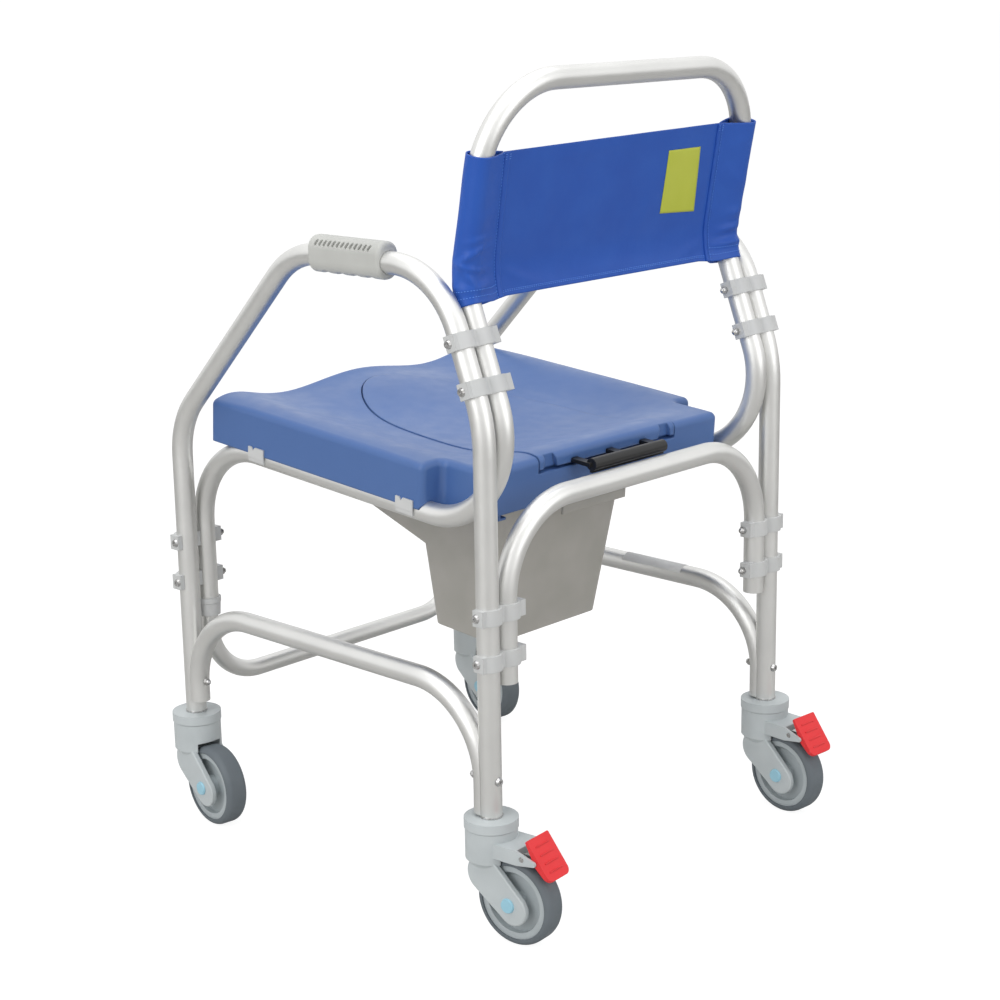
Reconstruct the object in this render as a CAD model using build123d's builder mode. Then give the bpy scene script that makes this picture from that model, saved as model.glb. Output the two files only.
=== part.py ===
"""Wheeled commode chair: bent-tube frame, moulded seat with lid and bucket, sling back, four castors.

Millimetres. X runs to the sitter's left, Y to the rear and Z up. The origin is on the floor, at the
middle of the chair's length and width.
"""
from build123d import *
from math import cos, radians, sin, tan
import os

os.makedirs("parts", exist_ok=True)

# --- Tubes ---------------------------------------------------------------------------------------
tube_diameter = 25.0
tube_wall = 1.5
bend_radius = 100.0
seat_frame_half_width = 222.0  # axis of the seat rails and back posts
tube_gap = 3.2  # between a leg and the post or rail inside it
frame_half_width = seat_frame_half_width + tube_diameter + tube_gap  # axis of the legs and armrests
rear_leg_y = 223.795
wheelbase = 511.0
fit_clearance = 0.1  # between pieces that are fastened together

# --- Side frames ---------------------------------------------------------------------------------
leg_foot_z = 133.0
front_knee_z = 508.3
front_rise_angle = 44.6  # from the vertical
arm_z = 732.4
rear_rise_angle = 20.5  # from the vertical, shared by the seat frame's upsweep
rear_knee_z = 572.4
rear_knee_radius = 175.0

# --- Seat and back frame -------------------------------------------------------------------------
seat_tilt = 4.5  # the front is higher
seat_centre_ahead = 250.0  # of the rear legs
seat_centre_z = 466.5
post_foot_z = 262.0
lumbar_z = 714.0
back_recline = 11.3
back_top_z = 922.5

# --- Cross members -------------------------------------------------------------------------------
cross_tube_z = 476.4
cross_tube_foot_z = 285.0
rail_z = 274.9
rail_offset = 8.8  # from the leg's axis to the axis of the rail's upright end
rail_rear_foot_z = 140.5
rail_front_foot_z = 154.0
rail_bolt_z = 180.5
rail_nut_gap = 0.6  # over the start of the rail's bend
u_tube_diameter = 21.5
u_tube_z = 168.8
u_tube_bend_radius = 75.0
u_tube_insert = 36.0
collar_diameter = 31.0
collar_lip = 6.0
collar_height = 22.2
collar_overlap = 18.4
collar_taper = 1.5

# --- Brackets and screws -------------------------------------------------------------------------
bracket_height = 18.0
bracket_end = 18.0  # beyond the outer tube's axis
bracket_inner_end = 21.0  # beyond the inner tube's axis
bracket_back = 16.0
bracket_spine = 10.0
bracket_front = 5.0
upper_bracket_z = (658.0, 609.7)
lower_bracket_z = (367.0, 315.8)
front_bracket_z = (359.0, 308.4)
bolt_diameter = 5.0
bolt_hole_diameter = 5.4
bolt_head_diameter = 10.2
bolt_head_height = 2.8
bolt_socket_flats = 3.0
bolt_socket_depth = 1.6
bolt_thread_engagement = 5.0
nut_flats = 8.0
nut_hex_height = 4.0
nut_dome_radius = 3.8

# --- Arm grips -----------------------------------------------------------------------------------
grip_length = 114.5
grip_centre_ahead = 193.6  # of the rear legs
grip_width = 31.0
grip_above = 22.6  # above the tube axis
grip_below = 18.8
grip_rounding = 14.5
grip_end_rounding = 5.0
finger_count = 4
finger_pitch = 23.3
finger_radius = 10.0
finger_depth = 3.8
slot_count = 13
slot_pitch = 7.0
slot_width = 3.6
slot_length = 7.0
slot_depth = 3.0
slot_slant = -20.0
slot_row_y = 1.0  # the row's middle ahead of the grip's middle
slot_row_lean = 40.0  # degrees from the vertical, on the outer shoulder

# --- Seat, in its own tilted frame: s forward, n normal to the rails ------------------------------
seat_overhang = 13.0  # the skirt hangs outside the rails
seat_half_width = seat_frame_half_width + seat_overhang
seat_front_s = 226.0
seat_rear_s = -204.0
seat_corner_radius = 8.0
seat_edge_radius = 8.0
seat_skirt_n = 4.0
seat_wall = 4.0
seat_notch_s = -137.0
seat_notch_depth = 32.0
seat_notch_half_width = seat_half_width - seat_notch_depth
seat_rim_width = 32.0
seat_section_x = (seat_half_width, seat_half_width - seat_rim_width, 165.0, 120.0, 60.0)
seat_section_s = (seat_rear_s, -165.0, -120.0, -70.0, 20.0, 100.0, 165.0, seat_front_s)
seat_section_n = (  # heights of the top at each of those x, and last at the middle
    (55.0, 57.0, 57.0, 56.5, 56.5, 56.5),
    (55.5, 57.5, 57.0, 56.0, 55.5, 55.5),
    (55.5, 57.5, 52.0, 46.0, 43.5, 43.0),
    (56.0, 57.5, 49.0, 41.5, 38.5, 38.0),
    (56.0, 58.0, 48.5, 41.0, 39.5, 40.0),
    (56.0, 58.5, 49.0, 43.5, 46.0, 48.5),
    (55.5, 59.0, 50.5, 46.5, 51.5, 55.5),
    (53.0, 60.0, 53.5, 49.0, 55.5, 61.5),
)

# --- Lid and its handle --------------------------------------------------------------------------
lid_thickness = 8.0
lid_rear_half_width = 119.0
lid_waist = ((116.0, -60.0), (107.0, 40.0), (72.0, 130.0))
lid_tip_s = 182.0
lid_groove = 1.6
lid_proud = 1.0  # above the seat around it
lid_lift_gap = 0.3
lid_lip_thickness = 10.0
lid_lip_n = 44.0
sill_n = 40.0  # where the seat's rear wall ends under the lid's lip
lid_recess_outer = 112.0
lid_recess_inner = 87.0
lid_recess_depth = 5.0
lid_recess_taper = 7.0
ledge_width = 14.0
ledge_thickness = 4.0
opening_rear_s = -150.0
handle_bar_diameter = 14.5
handle_half_length = 63.0
handle_bar_s = -232.0
handle_bar_n = 47.0
handle_arm_x = 60.0
handle_arm_width = 11.0
handle_arm_thickness = 4.6
handle_arm_grip = 8.0  # length held in the lid's lip
handle_web_thickness = 4.0
handle_web_depth = 9.5

# --- Clips that hold the seat to its rails --------------------------------------------------------
clip_s = (139.5, -111.5)
clip_width = 27.0
clip_thickness = 2.0
clip_top_n = 13.0
clip_wrap_angle = 25.0
clip_notch_depth = 4.0
clip_notch_width = 6.0
clip_notch_ahead = 5.0  # of the clip's middle

# --- Bucket and the runners it slides on -----------------------------------------------------------
bucket_wall = 2.5
bucket_floor_n = -193.5
bucket_floor_half_width = 93.6
bucket_rim_half_width = 114.6
bucket_floor_rear_s = -122.7
bucket_rim_rear_s = -136.6
bucket_floor_front_s = -22.0
bucket_step_s = -8.0
bucket_step_n = -90.0
bucket_nose_s = 140.0
bucket_nose_n = -46.0
bucket_rim_front_s = 150.0
bucket_corner_radius = 14.0
bucket_rim_n = -14.0
flange_thickness = 3.0
flange_half_width = 137.0
flange_margin = 2.0
pull_half_width = 55.0
pull_rear_s = -187.0
pull_drop = 11.0
pull_thickness = 3.0
runner_clearance = 0.6
runner_lip = 9.0
runner_thickness = 3.0
runner_rear_s = -166.0
runner_front_s = 170.0

# --- Backrest sling --------------------------------------------------------------------------------
sling_bottom_z = 693.0
sling_top_z = 852.0
sling_thickness = 2.4
sling_clearance = 0.3

# --- Castors ---------------------------------------------------------------------------------------
wheel_radius = 50.0
tyre_width = 28.0
rim_radius = 42.4
rim_width = 24.0
rim_inner_radius = 35.0
web_thickness = 9.0
hub_radius = 13.0
hub_clearance = 0.5
tyre_rounding = 7.2
castor_trail = 38.0
disc_diameter = 60.5
disc_top_z = 138.0
disc_height = 11.0
swivel_gap = 0.5
stem_height = 34.0
kingpin_diameter = 12.0
kingpin_length = 20.0
running_clearance = 0.05
ferrule_diameter = 26.6
ferrule_height = 2.0
fork_body_diameter = 58.5
fork_body_height = 42.0
fork_body_edge = 7.0
fork_gap = 16.0  # from the wheel's middle to the cheek
cheek_thickness = 6.5
cheek_toe = (43.0, 46.0)  # (t, z) of the cheek's lower round
cheek_toe_radius = 18.5
cheek_shoulder = (4.5, 78.0)  # (t, z) of the cheek's upper round
cheek_shoulder_radius = 22.0
cheek_edge = 1.2
wheel_clearance = 4.0
axle_diameter = 8.0
cap_diameter = 17.0
cap_height = 2.5
castor_heading = {  # direction in which each wheel trails, from +X
    "rear_left": 96.0,
    "rear_right": 86.5,
    "front_left": 84.0,
    "front_right": 82.0,
}

# --- Brakes of the rear castors ----------------------------------------------------------------------
brake_pivot_t = 57.0
brake_pivot_z = 108.5
brake_pin_diameter = 6.0
brake_barrel_diameter = 10.0
brake_side_clearance = 0.5
hood_top_z = 117.0
hood_roof_end_t = 50.0
hood_arm_tip = (72.5, 106.5)  # (t, z)
hood_arm_tip_radius = 3.0
hood_arm_thickness = 2.6
pedal_length = 51.0
pedal_plate = 2.6
pedal_skirt = 8.0
pedal_skirt_toe = 4.0
pedal_skirt_bend = 29.0  # from the top edge
pedal_slope = 52.7  # below the horizontal
pedal_rise = 21.5  # top edge above the pivot
pedal_ahead = 5.0  # top edge beyond the pivot
pedal_rib_count = 4
pedal_rib_width = 1.6
pedal_rib_height = 0.9
pedal_corner_radius = 8.0
pedal_top_radius = 2.0
lever_thickness = 2.5

# Worked-out values shared by several pieces
tube_radius = tube_diameter / 2
front_leg_y = rear_leg_y - wheelbase
seat_centre_y = rear_leg_y - seat_centre_ahead
grip_centre_y = rear_leg_y - grip_centre_ahead
sides = {"left": 1, "right": -1}
rise_up = (0, -sin(radians(rear_rise_angle)), cos(radians(rear_rise_angle)))
seat_forward = Vector(0, -cos(radians(seat_tilt)), sin(radians(seat_tilt)))
seat_normal = Vector(0, sin(radians(seat_tilt)), cos(radians(seat_tilt)))
seat_centre = Vector(0, seat_centre_y, seat_centre_z)
bolt_side_length = frame_half_width + bracket_end - seat_frame_half_width + bracket_inner_end


def rear_rise_y(z):
    """Y of the rear rise's axis, common to the side frame and the seat frame, at height z."""
    return rear_leg_y - (z - rear_knee_z) * tan(radians(rear_rise_angle))


def seat_rail_z(y):
    """Height of the seat rail's axis at y."""
    return seat_centre_z + (seat_centre_y - y) * tan(radians(seat_tilt))


def seat_plane(s=0.0, n=0.0):
    """Plane parallel to the seat: its x runs across the chair and its y forward."""
    return Plane(origin=seat_centre + seat_forward * s + seat_normal * n, x_dir=(-1, 0, 0), z_dir=seat_normal)


def seat_side_plane(x=0.0):
    """Plane along the seat: its x runs forward (s) and its y up the seat's normal (n)."""
    return Plane(origin=seat_centre + Vector(x, 0, 0), x_dir=seat_forward, z_dir=(-1, 0, 0))


def seat_cross_plane(s):
    """Plane across the seat at s: its x runs to the left and its y up the seat's normal."""
    return Plane(origin=seat_centre + seat_forward * s, x_dir=(1, 0, 0), z_dir=seat_forward)


def sweep_tube(points, radii, diameter, wall, mode=Mode.ADD):
    """Sweep a round tube along straight runs joined by tangent bends; no wall means a solid bar."""
    with BuildLine() as path:
        FilletPolyline(*points, radius=radii)
    with BuildSketch(Plane(path.line @ 0, z_dir=path.line % 0)) as section:
        Circle(diameter / 2)
        if wall:
            Circle(diameter / 2 - wall, mode=Mode.SUBTRACT)
    return sweep(sections=section.sketch, path=path.line, mode=mode)


def drill_across(stations):
    """Drill the screw holes that run along X at each (y, z)."""
    for y, z in stations:
        with Locations(Location((0, y, z), (0, 90, 0))):
            Cylinder(bolt_hole_diameter / 2, 3 * frame_half_width, mode=Mode.SUBTRACT)


# Screw positions (y, z) of the three sets of brackets
upper_stations = [(rear_rise_y(z), z) for z in upper_bracket_z]
lower_stations = [(rear_leg_y, z) for z in lower_bracket_z]
front_stations = [(front_leg_y, z) for z in front_bracket_z]
rail_bolt_y = {"rear": rear_leg_y, "front": front_leg_y}


# === Side frames: one bent tube from the front foot over the armrest to the rear foot ===============
front_shoulder_y = front_leg_y + (arm_z - front_knee_z) * tan(radians(front_rise_angle))
side_frame_profile = [
    (front_leg_y, leg_foot_z),
    (front_leg_y, front_knee_z),
    (front_shoulder_y, arm_z),
    (rear_rise_y(arm_z), arm_z),
    (rear_leg_y, rear_knee_z),
    (rear_leg_y, leg_foot_z),
]
side_frame_radii = [bend_radius, bend_radius, bend_radius, rear_knee_radius]
for side_name, side in sides.items():
    with BuildPart() as side_frame:
        x = side * frame_half_width
        run = [(x, y, z) for y, z in side_frame_profile]
        sweep_tube(run, side_frame_radii, tube_diameter, tube_wall)
        drill_across(upper_stations + lower_stations + front_stations)
        for y in rail_bolt_y.values():
            with Locations(Location((x, y, rail_bolt_z), (90, 0, 0))):
                Cylinder(bolt_hole_diameter / 2, 2 * tube_diameter, mode=Mode.SUBTRACT)
    side_frame.part.label = f"side_frame_{side_name}"
    export_step(side_frame.part, f"parts/side_frame_{side_name}.step")


# === Seat and back frame: one long tube from post foot to post foot over the top bar =================
rail_slope = tan(radians(seat_tilt))
rise_slope = tan(radians(rear_rise_angle))
seat_back_corner_z = (
    seat_rail_z(rear_leg_y) + rail_slope * rise_slope * -rear_knee_z
) / (1 - rail_slope * rise_slope)
seat_back_corner = (rear_rise_y(seat_back_corner_z), seat_back_corner_z)
lumbar_corner = (rear_rise_y(lumbar_z), lumbar_z)
back_top_y = lumbar_corner[0] + (back_top_z - lumbar_z) * tan(radians(back_recline))
half_profile = [
    (front_leg_y, post_foot_z),
    (front_leg_y, seat_rail_z(front_leg_y)),
    seat_back_corner,
    lumbar_corner,
    (back_top_y, back_top_z),
]
with BuildPart() as seat_back_frame:
    left_run = [(seat_frame_half_width, y, z) for y, z in half_profile]
    right_run = [(-seat_frame_half_width, y, z) for y, z in reversed(half_profile)]
    sweep_tube(left_run + right_run, bend_radius, tube_diameter, tube_wall)
    drill_across(upper_stations + front_stations)
seat_back_frame.part.label = "seat_back_frame"
export_step(seat_back_frame.part, "parts/seat_back_frame.step")


# === Rear cross tube: an inverted U between the rear legs, with open ends =============================
with BuildPart() as rear_cross_tube:
    sweep_tube(
        [
            (seat_frame_half_width, rear_leg_y, cross_tube_foot_z),
            (seat_frame_half_width, rear_leg_y, cross_tube_z),
            (-seat_frame_half_width, rear_leg_y, cross_tube_z),
            (-seat_frame_half_width, rear_leg_y, cross_tube_foot_z),
        ],
        bend_radius,
        tube_diameter,
        tube_wall,
    )
    drill_across(lower_stations)
rear_cross_tube.part.label = "rear_cross_tube"
export_step(rear_cross_tube.part, "parts/rear_cross_tube.step")


# === Lower side rails: bent down at both ends and notched lengthwise to hug the legs ===================
for side_name, side in sides.items():
    with BuildPart() as lower_rail:
        x = side * frame_half_width
        front_y = front_leg_y + rail_offset
        rear_y = rear_leg_y - rail_offset
        sweep_tube(
            [
                (x, front_y, rail_front_foot_z),
                (x, front_y, rail_z),
                (x, rear_y, rail_z),
                (x, rear_y, rail_rear_foot_z),
            ],
            bend_radius,
            tube_diameter,
            tube_wall,
        )
        with Locations((x, front_leg_y, rail_z), (x, rear_leg_y, rail_z)):
            Cylinder(tube_radius + fit_clearance, 2 * rail_z, mode=Mode.SUBTRACT)
        for y in rail_bolt_y.values():
            with Locations(Location((x, y, rail_bolt_z), (90, 0, 0))):
                Cylinder(bolt_hole_diameter / 2, 3 * tube_diameter, mode=Mode.SUBTRACT)
    lower_rail.part.label = f"lower_rail_{side_name}"
    export_step(lower_rail.part, f"parts/lower_rail_{side_name}.step")


# === Front U tube: thinner, pushed up inside the front posts ==========================================
with BuildPart() as front_u_tube:
    u_top_z = post_foot_z + u_tube_insert
    sweep_tube(
        [
            (seat_frame_half_width, front_leg_y, u_top_z),
            (seat_frame_half_width, front_leg_y, u_tube_z),
            (-seat_frame_half_width, front_leg_y, u_tube_z),
            (-seat_frame_half_width, front_leg_y, u_top_z),
        ],
        u_tube_bend_radius,
        u_tube_diameter,
        tube_wall,
    )
front_u_tube.part.label = "front_u_tube"
export_step(front_u_tube.part, "parts/front_u_tube.step")


# === Collars at the lower ends of the front posts ======================================================
with BuildPart() as tube_collars:
    collar_top = post_foot_z + collar_overlap
    collar_base = collar_top - collar_height
    outer = collar_diameter / 2
    for side in sides.values():
        with BuildSketch(Plane((side * seat_frame_half_width, front_leg_y, 0), x_dir=(1, 0, 0), z_dir=(0, -1, 0))):
            with BuildLine():
                Polyline(
                    (u_tube_diameter / 2 + fit_clearance, collar_base),
                    (outer - collar_taper, collar_base),
                    (outer - collar_taper / 2, collar_top - collar_lip),
                    (outer, collar_top - collar_lip),
                    (outer, collar_top),
                    (tube_radius + fit_clearance, collar_top),
                    (tube_radius + fit_clearance, post_foot_z - fit_clearance),
                    (u_tube_diameter / 2 + fit_clearance, post_foot_z - fit_clearance),
                    close=True,
                )
            make_face()
        revolve(axis=Axis((side * seat_frame_half_width, front_leg_y, 0), (0, 0, 1)))
tube_collars.part.label = "tube_collars"
export_step(tube_collars.part, "parts/tube_collars.step")


# === Brackets: E-shaped mouldings that clasp the leg and the inner tube =================================
def add_brackets(stations, tube_direction, spine):
    """Add a left and a right bracket at each station, with its closed side towards spine (+1 rear)."""
    middle = frame_half_width + bracket_end - bolt_side_length / 2
    for y, z in stations:
        for side in sides.values():
            axes_x = [(side * frame_half_width, 0), (side * seat_frame_half_width, 0)]
            depth = bracket_back + bracket_front
            with BuildSketch(Plane((0, y, z), x_dir=(1, 0, 0), z_dir=tube_direction)) as outline:
                with Locations((side * middle, spine * (bracket_spine - bracket_front) / 2)):
                    Rectangle(bolt_side_length, bracket_spine + bracket_front)
                with Locations(*axes_x):
                    Circle(bracket_back)
                with Locations((side * middle, spine * (bracket_back - bracket_front) / 2)):
                    Rectangle(bolt_side_length, depth, mode=Mode.INTERSECT)
                with Locations(*axes_x):
                    Circle(tube_radius + fit_clearance, mode=Mode.SUBTRACT)
            extrude(outline.sketch, amount=bracket_height / 2, both=True)
    drill_across(stations)


with BuildPart() as brackets_upper:
    add_brackets(upper_stations, rise_up, 1)
brackets_upper.part.label = "brackets_upper"
export_step(brackets_upper.part, "parts/brackets_upper.step")

with BuildPart() as brackets_lower:
    add_brackets(lower_stations, (0, 0, 1), 1)
brackets_lower.part.label = "brackets_lower"
export_step(brackets_lower.part, "parts/brackets_lower.step")

with BuildPart() as brackets_front:
    add_brackets(front_stations, (0, 0, 1), -1)
brackets_front.part.label = "brackets_front"
export_step(brackets_front.part, "parts/brackets_front.step")


# === Screws: button heads with a hexagon socket, and domed nuts ==========================================
def add_bolt(plane, grip_length_of_bolt):
    """Add a bolt whose head sits on the plane's +z side and whose shank runs to -z."""
    with BuildSketch(plane) as shank:
        Circle(bolt_diameter / 2)
    extrude(shank.sketch, amount=-(grip_length_of_bolt + bolt_thread_engagement))
    with BuildSketch(plane) as head:
        Circle(bolt_head_diameter / 2)
    extrude(head.sketch, amount=bolt_head_height, taper=25)
    with BuildSketch(plane.offset(bolt_head_height)) as socket:
        RegularPolygon(bolt_socket_flats / 2, 6, major_radius=False)
    extrude(socket.sketch, amount=-bolt_socket_depth, mode=Mode.SUBTRACT)


def add_nut(plane):
    """Add a domed nut that sits on the plane and points to its +z side."""
    with BuildSketch(plane) as flats:
        RegularPolygon(nut_flats / 2, 6, major_radius=False)
    extrude(flats.sketch, amount=nut_hex_height)
    with BuildSketch(Plane(plane.origin, x_dir=plane.x_dir, z_dir=plane.y_dir)) as dome:
        with Locations((0, -nut_hex_height)):
            Circle(nut_dome_radius)
        with Locations((nut_dome_radius, 0)):
            Rectangle(2 * nut_dome_radius, 4 * nut_flats, mode=Mode.INTERSECT)
    revolve(dome.sketch, axis=Axis(plane.origin, plane.z_dir))
    with BuildSketch(plane) as thread:
        Circle(bolt_diameter / 2 + fit_clearance)
    extrude(thread.sketch, amount=bolt_thread_engagement + fit_clearance, mode=Mode.SUBTRACT)


def bracket_face(side, y, z, outboard):
    """Plane on a bracket's flat end, facing away from the bracket."""
    reach = frame_half_width + bracket_end if outboard else seat_frame_half_width - bracket_inner_end
    facing = side if outboard else -side
    return Plane((side * reach, y, z), x_dir=(0, 1, 0), z_dir=(facing, 0, 0))


with BuildPart() as bracket_bolts:
    for y, z in upper_stations + lower_stations + front_stations:
        for side in sides.values():
            add_bolt(bracket_face(side, y, z, True), bolt_side_length)
bracket_bolts.part.label = "bracket_bolts"
export_step(bracket_bolts.part, "parts/bracket_bolts.step")

with BuildPart() as bracket_nuts:
    for y, z in upper_stations + lower_stations + front_stations:
        for side in sides.values():
            add_nut(bracket_face(side, y, z, False))
bracket_nuts.part.label = "bracket_nuts"
export_step(bracket_nuts.part, "parts/bracket_nuts.step")

rail_grip = 2 * tube_radius + rail_offset
rail_ends = [(rear_leg_y, 1), (front_leg_y, -1)]
with BuildPart() as rail_bolts:
    for leg_y, facing in rail_ends:
        for side in sides.values():
            face = (side * frame_half_width, leg_y + facing * tube_radius, rail_bolt_z)
            add_bolt(Plane(face, x_dir=(1, 0, 0), z_dir=(0, facing, 0)), rail_grip)
rail_bolts.part.label = "rail_bolts"
export_step(rail_bolts.part, "parts/rail_bolts.step")

with BuildPart() as rail_nuts:
    for leg_y, facing in rail_ends:
        for side in sides.values():
            nut_seat = rail_offset + tube_radius + rail_nut_gap
            face = (side * frame_half_width, leg_y - facing * nut_seat, rail_bolt_z)
            add_nut(Plane(face, x_dir=(1, 0, 0), z_dir=(0, -facing, 0)))
rail_nuts.part.label = "rail_nuts"
export_step(rail_nuts.part, "parts/rail_nuts.step")


# === Arm grips: moulded sleeves with finger scallops below and drain slots on the outer shoulder ==========
for side_name, side in sides.items():
    with BuildPart() as arm_grip:
        grip_height = grip_above + grip_below
        grip_mid_z = arm_z + (grip_above - grip_below) / 2
        x = side * frame_half_width
        with BuildSketch(Plane((x, grip_centre_y, grip_mid_z), x_dir=(1, 0, 0), z_dir=(0, -1, 0))):
            RectangleRounded(grip_width, grip_height, grip_rounding)
        extrude(amount=grip_length / 2, both=True)
        fillet(arm_grip.faces().filter_by(Axis.Y).edges(), grip_end_rounding)
        scallop_z = arm_z - grip_below - finger_radius + finger_depth
        for index in range(finger_count):
            y = grip_centre_y + (index - (finger_count - 1) / 2) * finger_pitch
            with Locations(Location((x, y, scallop_z), (0, 90, 0))):
                Cylinder(finger_radius, 2 * grip_width, mode=Mode.SUBTRACT)
        shoulder = Plane((x, grip_centre_y - slot_row_y, arm_z)).rotated((0, side * slot_row_lean, 0))
        with BuildSketch(shoulder.offset(grip_above + slot_depth)) as slots:
            for index in range(slot_count):
                place = (index - (slot_count - 1) / 2) * slot_pitch
                with Locations(Location((0, place, 0), (0, 0, slot_slant))):
                    SlotOverall(slot_length, slot_width)
        extrude(slots.sketch, amount=-3 * slot_depth, mode=Mode.SUBTRACT)
        run = [(x, y, z) for y, z in side_frame_profile]
        sweep_tube(run, side_frame_radii, tube_diameter + 2 * fit_clearance, 0, Mode.SUBTRACT)
    arm_grip.part.label = f"arm_grip_{side_name}"
    export_step(arm_grip.part, f"parts/arm_grip_{side_name}.step")


# === Seat: a moulded shell whose top dips for the thighs and rises at the rims ==============================
def seat_section(index, depth, inset, drop):
    """Closed cross-section of the seat: its top lowered by depth, its sides moved in by inset."""
    last = len(seat_section_s) - 1
    lengthwise = {0: inset, last: -inset}.get(index, 0.0)
    half = seat_half_width - inset
    heights = [n - depth for n in seat_section_n[index]]
    left = list(zip((half, *seat_section_x[1:]), heights))
    right = [(-x, n) for x, n in reversed(left)]
    with BuildSketch(seat_cross_plane(seat_section_s[index] + lengthwise)) as section:
        with BuildLine():
            Polyline(left[0], (half, drop), (-half, drop), right[-1])
            Spline(*left, (0, heights[-1]), *right)
        make_face()
    return section.sketch


def seat_volume(depth, inset, drop):
    """Solid under the seat's top: lowered by depth, moved in by inset, reaching down to drop."""
    stations = range(len(seat_section_s))
    return loft(sections=[seat_section(index, depth, inset, drop) for index in stations])


def lid_outline(margin):
    """Plan of the lid, tongue-shaped and running out past the rear, grown by margin."""
    rear = seat_rear_s - lid_thickness
    half = lid_rear_half_width + margin
    widen = half / lid_rear_half_width
    lengthen = (lid_tip_s + margin - rear) / (lid_tip_s - rear)
    left = [(x * widen, rear + (s - rear) * lengthen) for x, s in lid_waist]
    right = [(-x, s) for x, s in reversed(left)]
    with BuildSketch(seat_plane()) as outline:
        with BuildLine():
            Spline((half, rear), *left, (0, lid_tip_s + margin), *right, (-half, rear))
            Line((-half, rear), (half, rear))
        make_face()
    return outline.sketch


def column(sketch):
    """Solid standing through the whole seat on the given plan."""
    with BuildPart(mode=Mode.PRIVATE) as pillar:
        extrude(sketch, amount=2 * seat_half_width, both=True)
    return pillar.part


def slab(rear_s, front_s, base_n):
    """Solid across the whole seat between two stations, upwards from base_n."""
    with BuildPart(mode=Mode.PRIVATE) as block:
        with BuildSketch(seat_side_plane()) as side_view:
            with BuildLine():
                Polyline(
                    (rear_s, base_n),
                    (front_s, base_n),
                    (front_s, seat_half_width),
                    (rear_s, seat_half_width),
                    close=True,
                )
            make_face()
        extrude(side_view.sketch, amount=seat_half_width, both=True)
    return block.part


def seat_plan(inset):
    """Plan of the seat, stepped in at the rear corners where the frame bends up, moved in by inset."""
    half = seat_half_width
    notch = seat_notch_half_width
    with BuildSketch(seat_plane()) as plan:
        with BuildLine():
            Polyline(
                (half, seat_front_s),
                (half, seat_notch_s),
                (notch, seat_notch_s),
                (notch, seat_rear_s),
                (-notch, seat_rear_s),
                (-notch, seat_notch_s),
                (-half, seat_notch_s),
                (-half, seat_front_s),
                close=True,
            )
        make_face()
        fillet(plan.vertices(), seat_corner_radius)
        if inset:
            offset(amount=-inset)
    return plan.sketch


def seat_solid(inset, drop):
    """Solid under the seat's top, trimmed to its plan, with every face moved in by inset."""
    with BuildPart(mode=Mode.PRIVATE) as solid:
        seat_volume(inset, inset, drop)
        add(column(seat_plan(inset)), mode=Mode.INTERSECT)
        lowest = min(min(heights) for heights in seat_section_n)
        halfway = seat_plane(n=lowest - inset - seat_edge_radius)
        rim = [
            edge
            for edge in solid.edges()
            if min(halfway.to_local_coords(edge @ end).Z for end in (0, 1)) > 0
        ]
        fillet(rim, seat_edge_radius - inset)
    return solid.part


below_all = bucket_floor_n
lid_seat_depth = lid_thickness + lid_lift_gap - lid_proud
lip_front_s = seat_rear_s + lid_lip_thickness
sill_front_s = lip_front_s + lid_groove
with BuildPart(mode=Mode.PRIVATE) as rail_space:
    sweep_tube(left_run + right_run, bend_radius, tube_diameter + 2 * fit_clearance, 0)
with BuildPart(mode=Mode.PRIVATE) as lid_underside:
    seat_volume(lid_thickness, -seat_wall, below_all)
with BuildPart(mode=Mode.PRIVATE) as lid_bed:
    seat_volume(lid_seat_depth, -seat_wall, below_all)
with BuildPart(mode=Mode.PRIVATE) as ledge_underside:
    seat_volume(lid_seat_depth + ledge_thickness, -seat_wall, below_all)

with BuildPart(mode=Mode.PRIVATE) as runners:
    web_x = flange_half_width + runner_clearance
    lip_top_n = bucket_rim_n - flange_thickness - runner_clearance
    lip_base_n = lip_top_n - runner_thickness
    with BuildSketch(seat_cross_plane(runner_rear_s)) as runner_section:
        for side in sides.values():
            with BuildLine():
                Polyline(
                    (side * web_x, seat_half_width),
                    (side * web_x, lip_top_n),
                    (side * (web_x - runner_lip), lip_top_n),
                    (side * (web_x - runner_lip), lip_base_n),
                    (side * (web_x + runner_thickness), lip_base_n),
                    (side * (web_x + runner_thickness), seat_half_width),
                    close=True,
                )
            make_face()
    extrude(runner_section.sketch, amount=runner_front_s - runner_rear_s)
with BuildPart(mode=Mode.PRIVATE) as seat_opening:
    with BuildSketch(seat_plane()) as opening_end:
        with Locations((0, opening_rear_s + seat_front_s)):
            Rectangle(2 * seat_half_width, 2 * seat_front_s)
    add(column(lid_outline(-ledge_width)) & column(opening_end.sketch))

with BuildPart() as seat_shell:
    add(seat_solid(0, seat_skirt_n))
    # hollow underside, less deep where the ledge carries the lid and behind it at the sill
    ledge_block = column(lid_outline(seat_wall)) - ledge_underside.part
    sill_block = slab(seat_rear_s, sill_front_s + seat_wall, sill_n - ledge_thickness)
    sill_block = sill_block & column(lid_outline(seat_wall))
    add(seat_solid(seat_wall, below_all) - ledge_block - sill_block, mode=Mode.SUBTRACT)
    # runners that carry the bucket's flange, cut off at the seat's top
    add(runners.part & seat_solid(0, below_all))
    # bed of the lid, the sill under its lip, the opening, and the hollow that sits on the rails
    add(column(lid_outline(lid_groove)) - lid_bed.part, mode=Mode.SUBTRACT)
    sill_cut = slab(seat_rear_s - seat_wall, sill_front_s, sill_n)
    add(sill_cut & column(lid_outline(lid_groove)), mode=Mode.SUBTRACT)
    add(seat_opening.part, mode=Mode.SUBTRACT)
    add(rail_space.part, mode=Mode.SUBTRACT)
seat_shell.part.label = "seat_shell"
export_step(seat_shell.part, "parts/seat_shell.step")


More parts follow.
